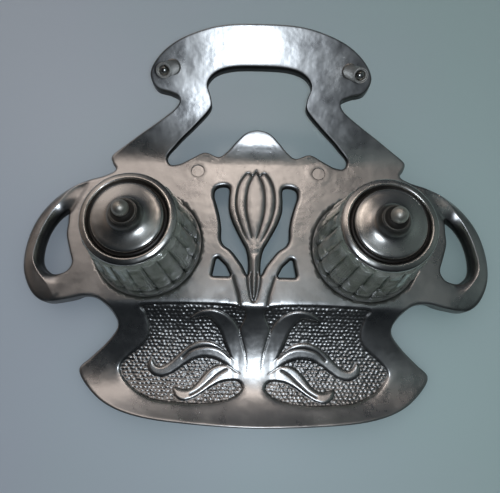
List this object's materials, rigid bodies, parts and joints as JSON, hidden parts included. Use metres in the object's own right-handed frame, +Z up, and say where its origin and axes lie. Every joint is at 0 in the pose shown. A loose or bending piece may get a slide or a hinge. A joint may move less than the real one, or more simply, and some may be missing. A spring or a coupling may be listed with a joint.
{
  "type": "desk inkstand",
  "caption": "Cast metal desk inkstand with lobed glass ink wells, lift-off domed lids, a pen trough, an arched pen rest with pegs and two loop handles.",
  "frame": {"origin": "on the table, under the middle of the stand's bounding box", "axes": "+X to the right handle, +Y to the pen rest at the back, +Z up"},
  "size_m": [0.294, 0.232, 0.0874],
  "materials": {
    "pewter_stand": "satin polished cast pewter with dark patina in the recesses",
    "pewter_lid": "polished turned pewter",
    "pewter_peg": "dull turned pewter",
    "pewter_foot": "dull cast pewter",
    "well_glass": "clear pressed glass with a faint green tint",
    "brass_sleeve": "dull rolled brass",
    "brass_fixing": "dull turned brass",
    "steel_screw": "bright turned steel"
  },
  "bodies": {
    "stand": {"stand_casting": "pewter_stand", "left_pen_peg": "pewter_peg", "left_peg_screw": "steel_screw", "left_peg_nut": "brass_fixing", "left_rear_foot": "pewter_foot", "left_front_foot": "pewter_foot", "right_pen_peg": "pewter_peg", "right_peg_screw": "steel_screw", "right_peg_nut": "brass_fixing", "right_rear_foot": "pewter_foot", "right_front_foot": "pewter_foot"},
    "left_well": {"left_ink_well": "well_glass"},
    "left_lid": {"left_lid_shell": "pewter_lid", "left_lid_sleeve": "brass_sleeve", "left_lid_knob": "pewter_lid", "left_knob_nut": "brass_fixing"},
    "right_well": {"right_ink_well": "well_glass"},
    "right_lid": {"right_lid_shell": "pewter_lid", "right_lid_sleeve": "brass_sleeve", "right_lid_knob": "pewter_lid", "right_knob_nut": "brass_fixing"}
  },
  "joints": [
    {"name": "left_well_lift", "type": "slide", "parent": "stand", "child": "left_well", "axis": [0, 0, 1], "range_m": [0, 0.06]},
    {"name": "left_lid_lift", "type": "slide", "parent": "left_well", "child": "left_lid", "axis": [0, 0, 1], "range_m": [0, 0.05]},
    {"name": "right_well_lift", "type": "slide", "parent": "stand", "child": "right_well", "axis": [0, 0, 1], "range_m": [0, 0.06]},
    {"name": "right_lid_lift", "type": "slide", "parent": "right_well", "child": "right_lid", "axis": [0, 0, 1], "range_m": [0, 0.05]}
  ]
}
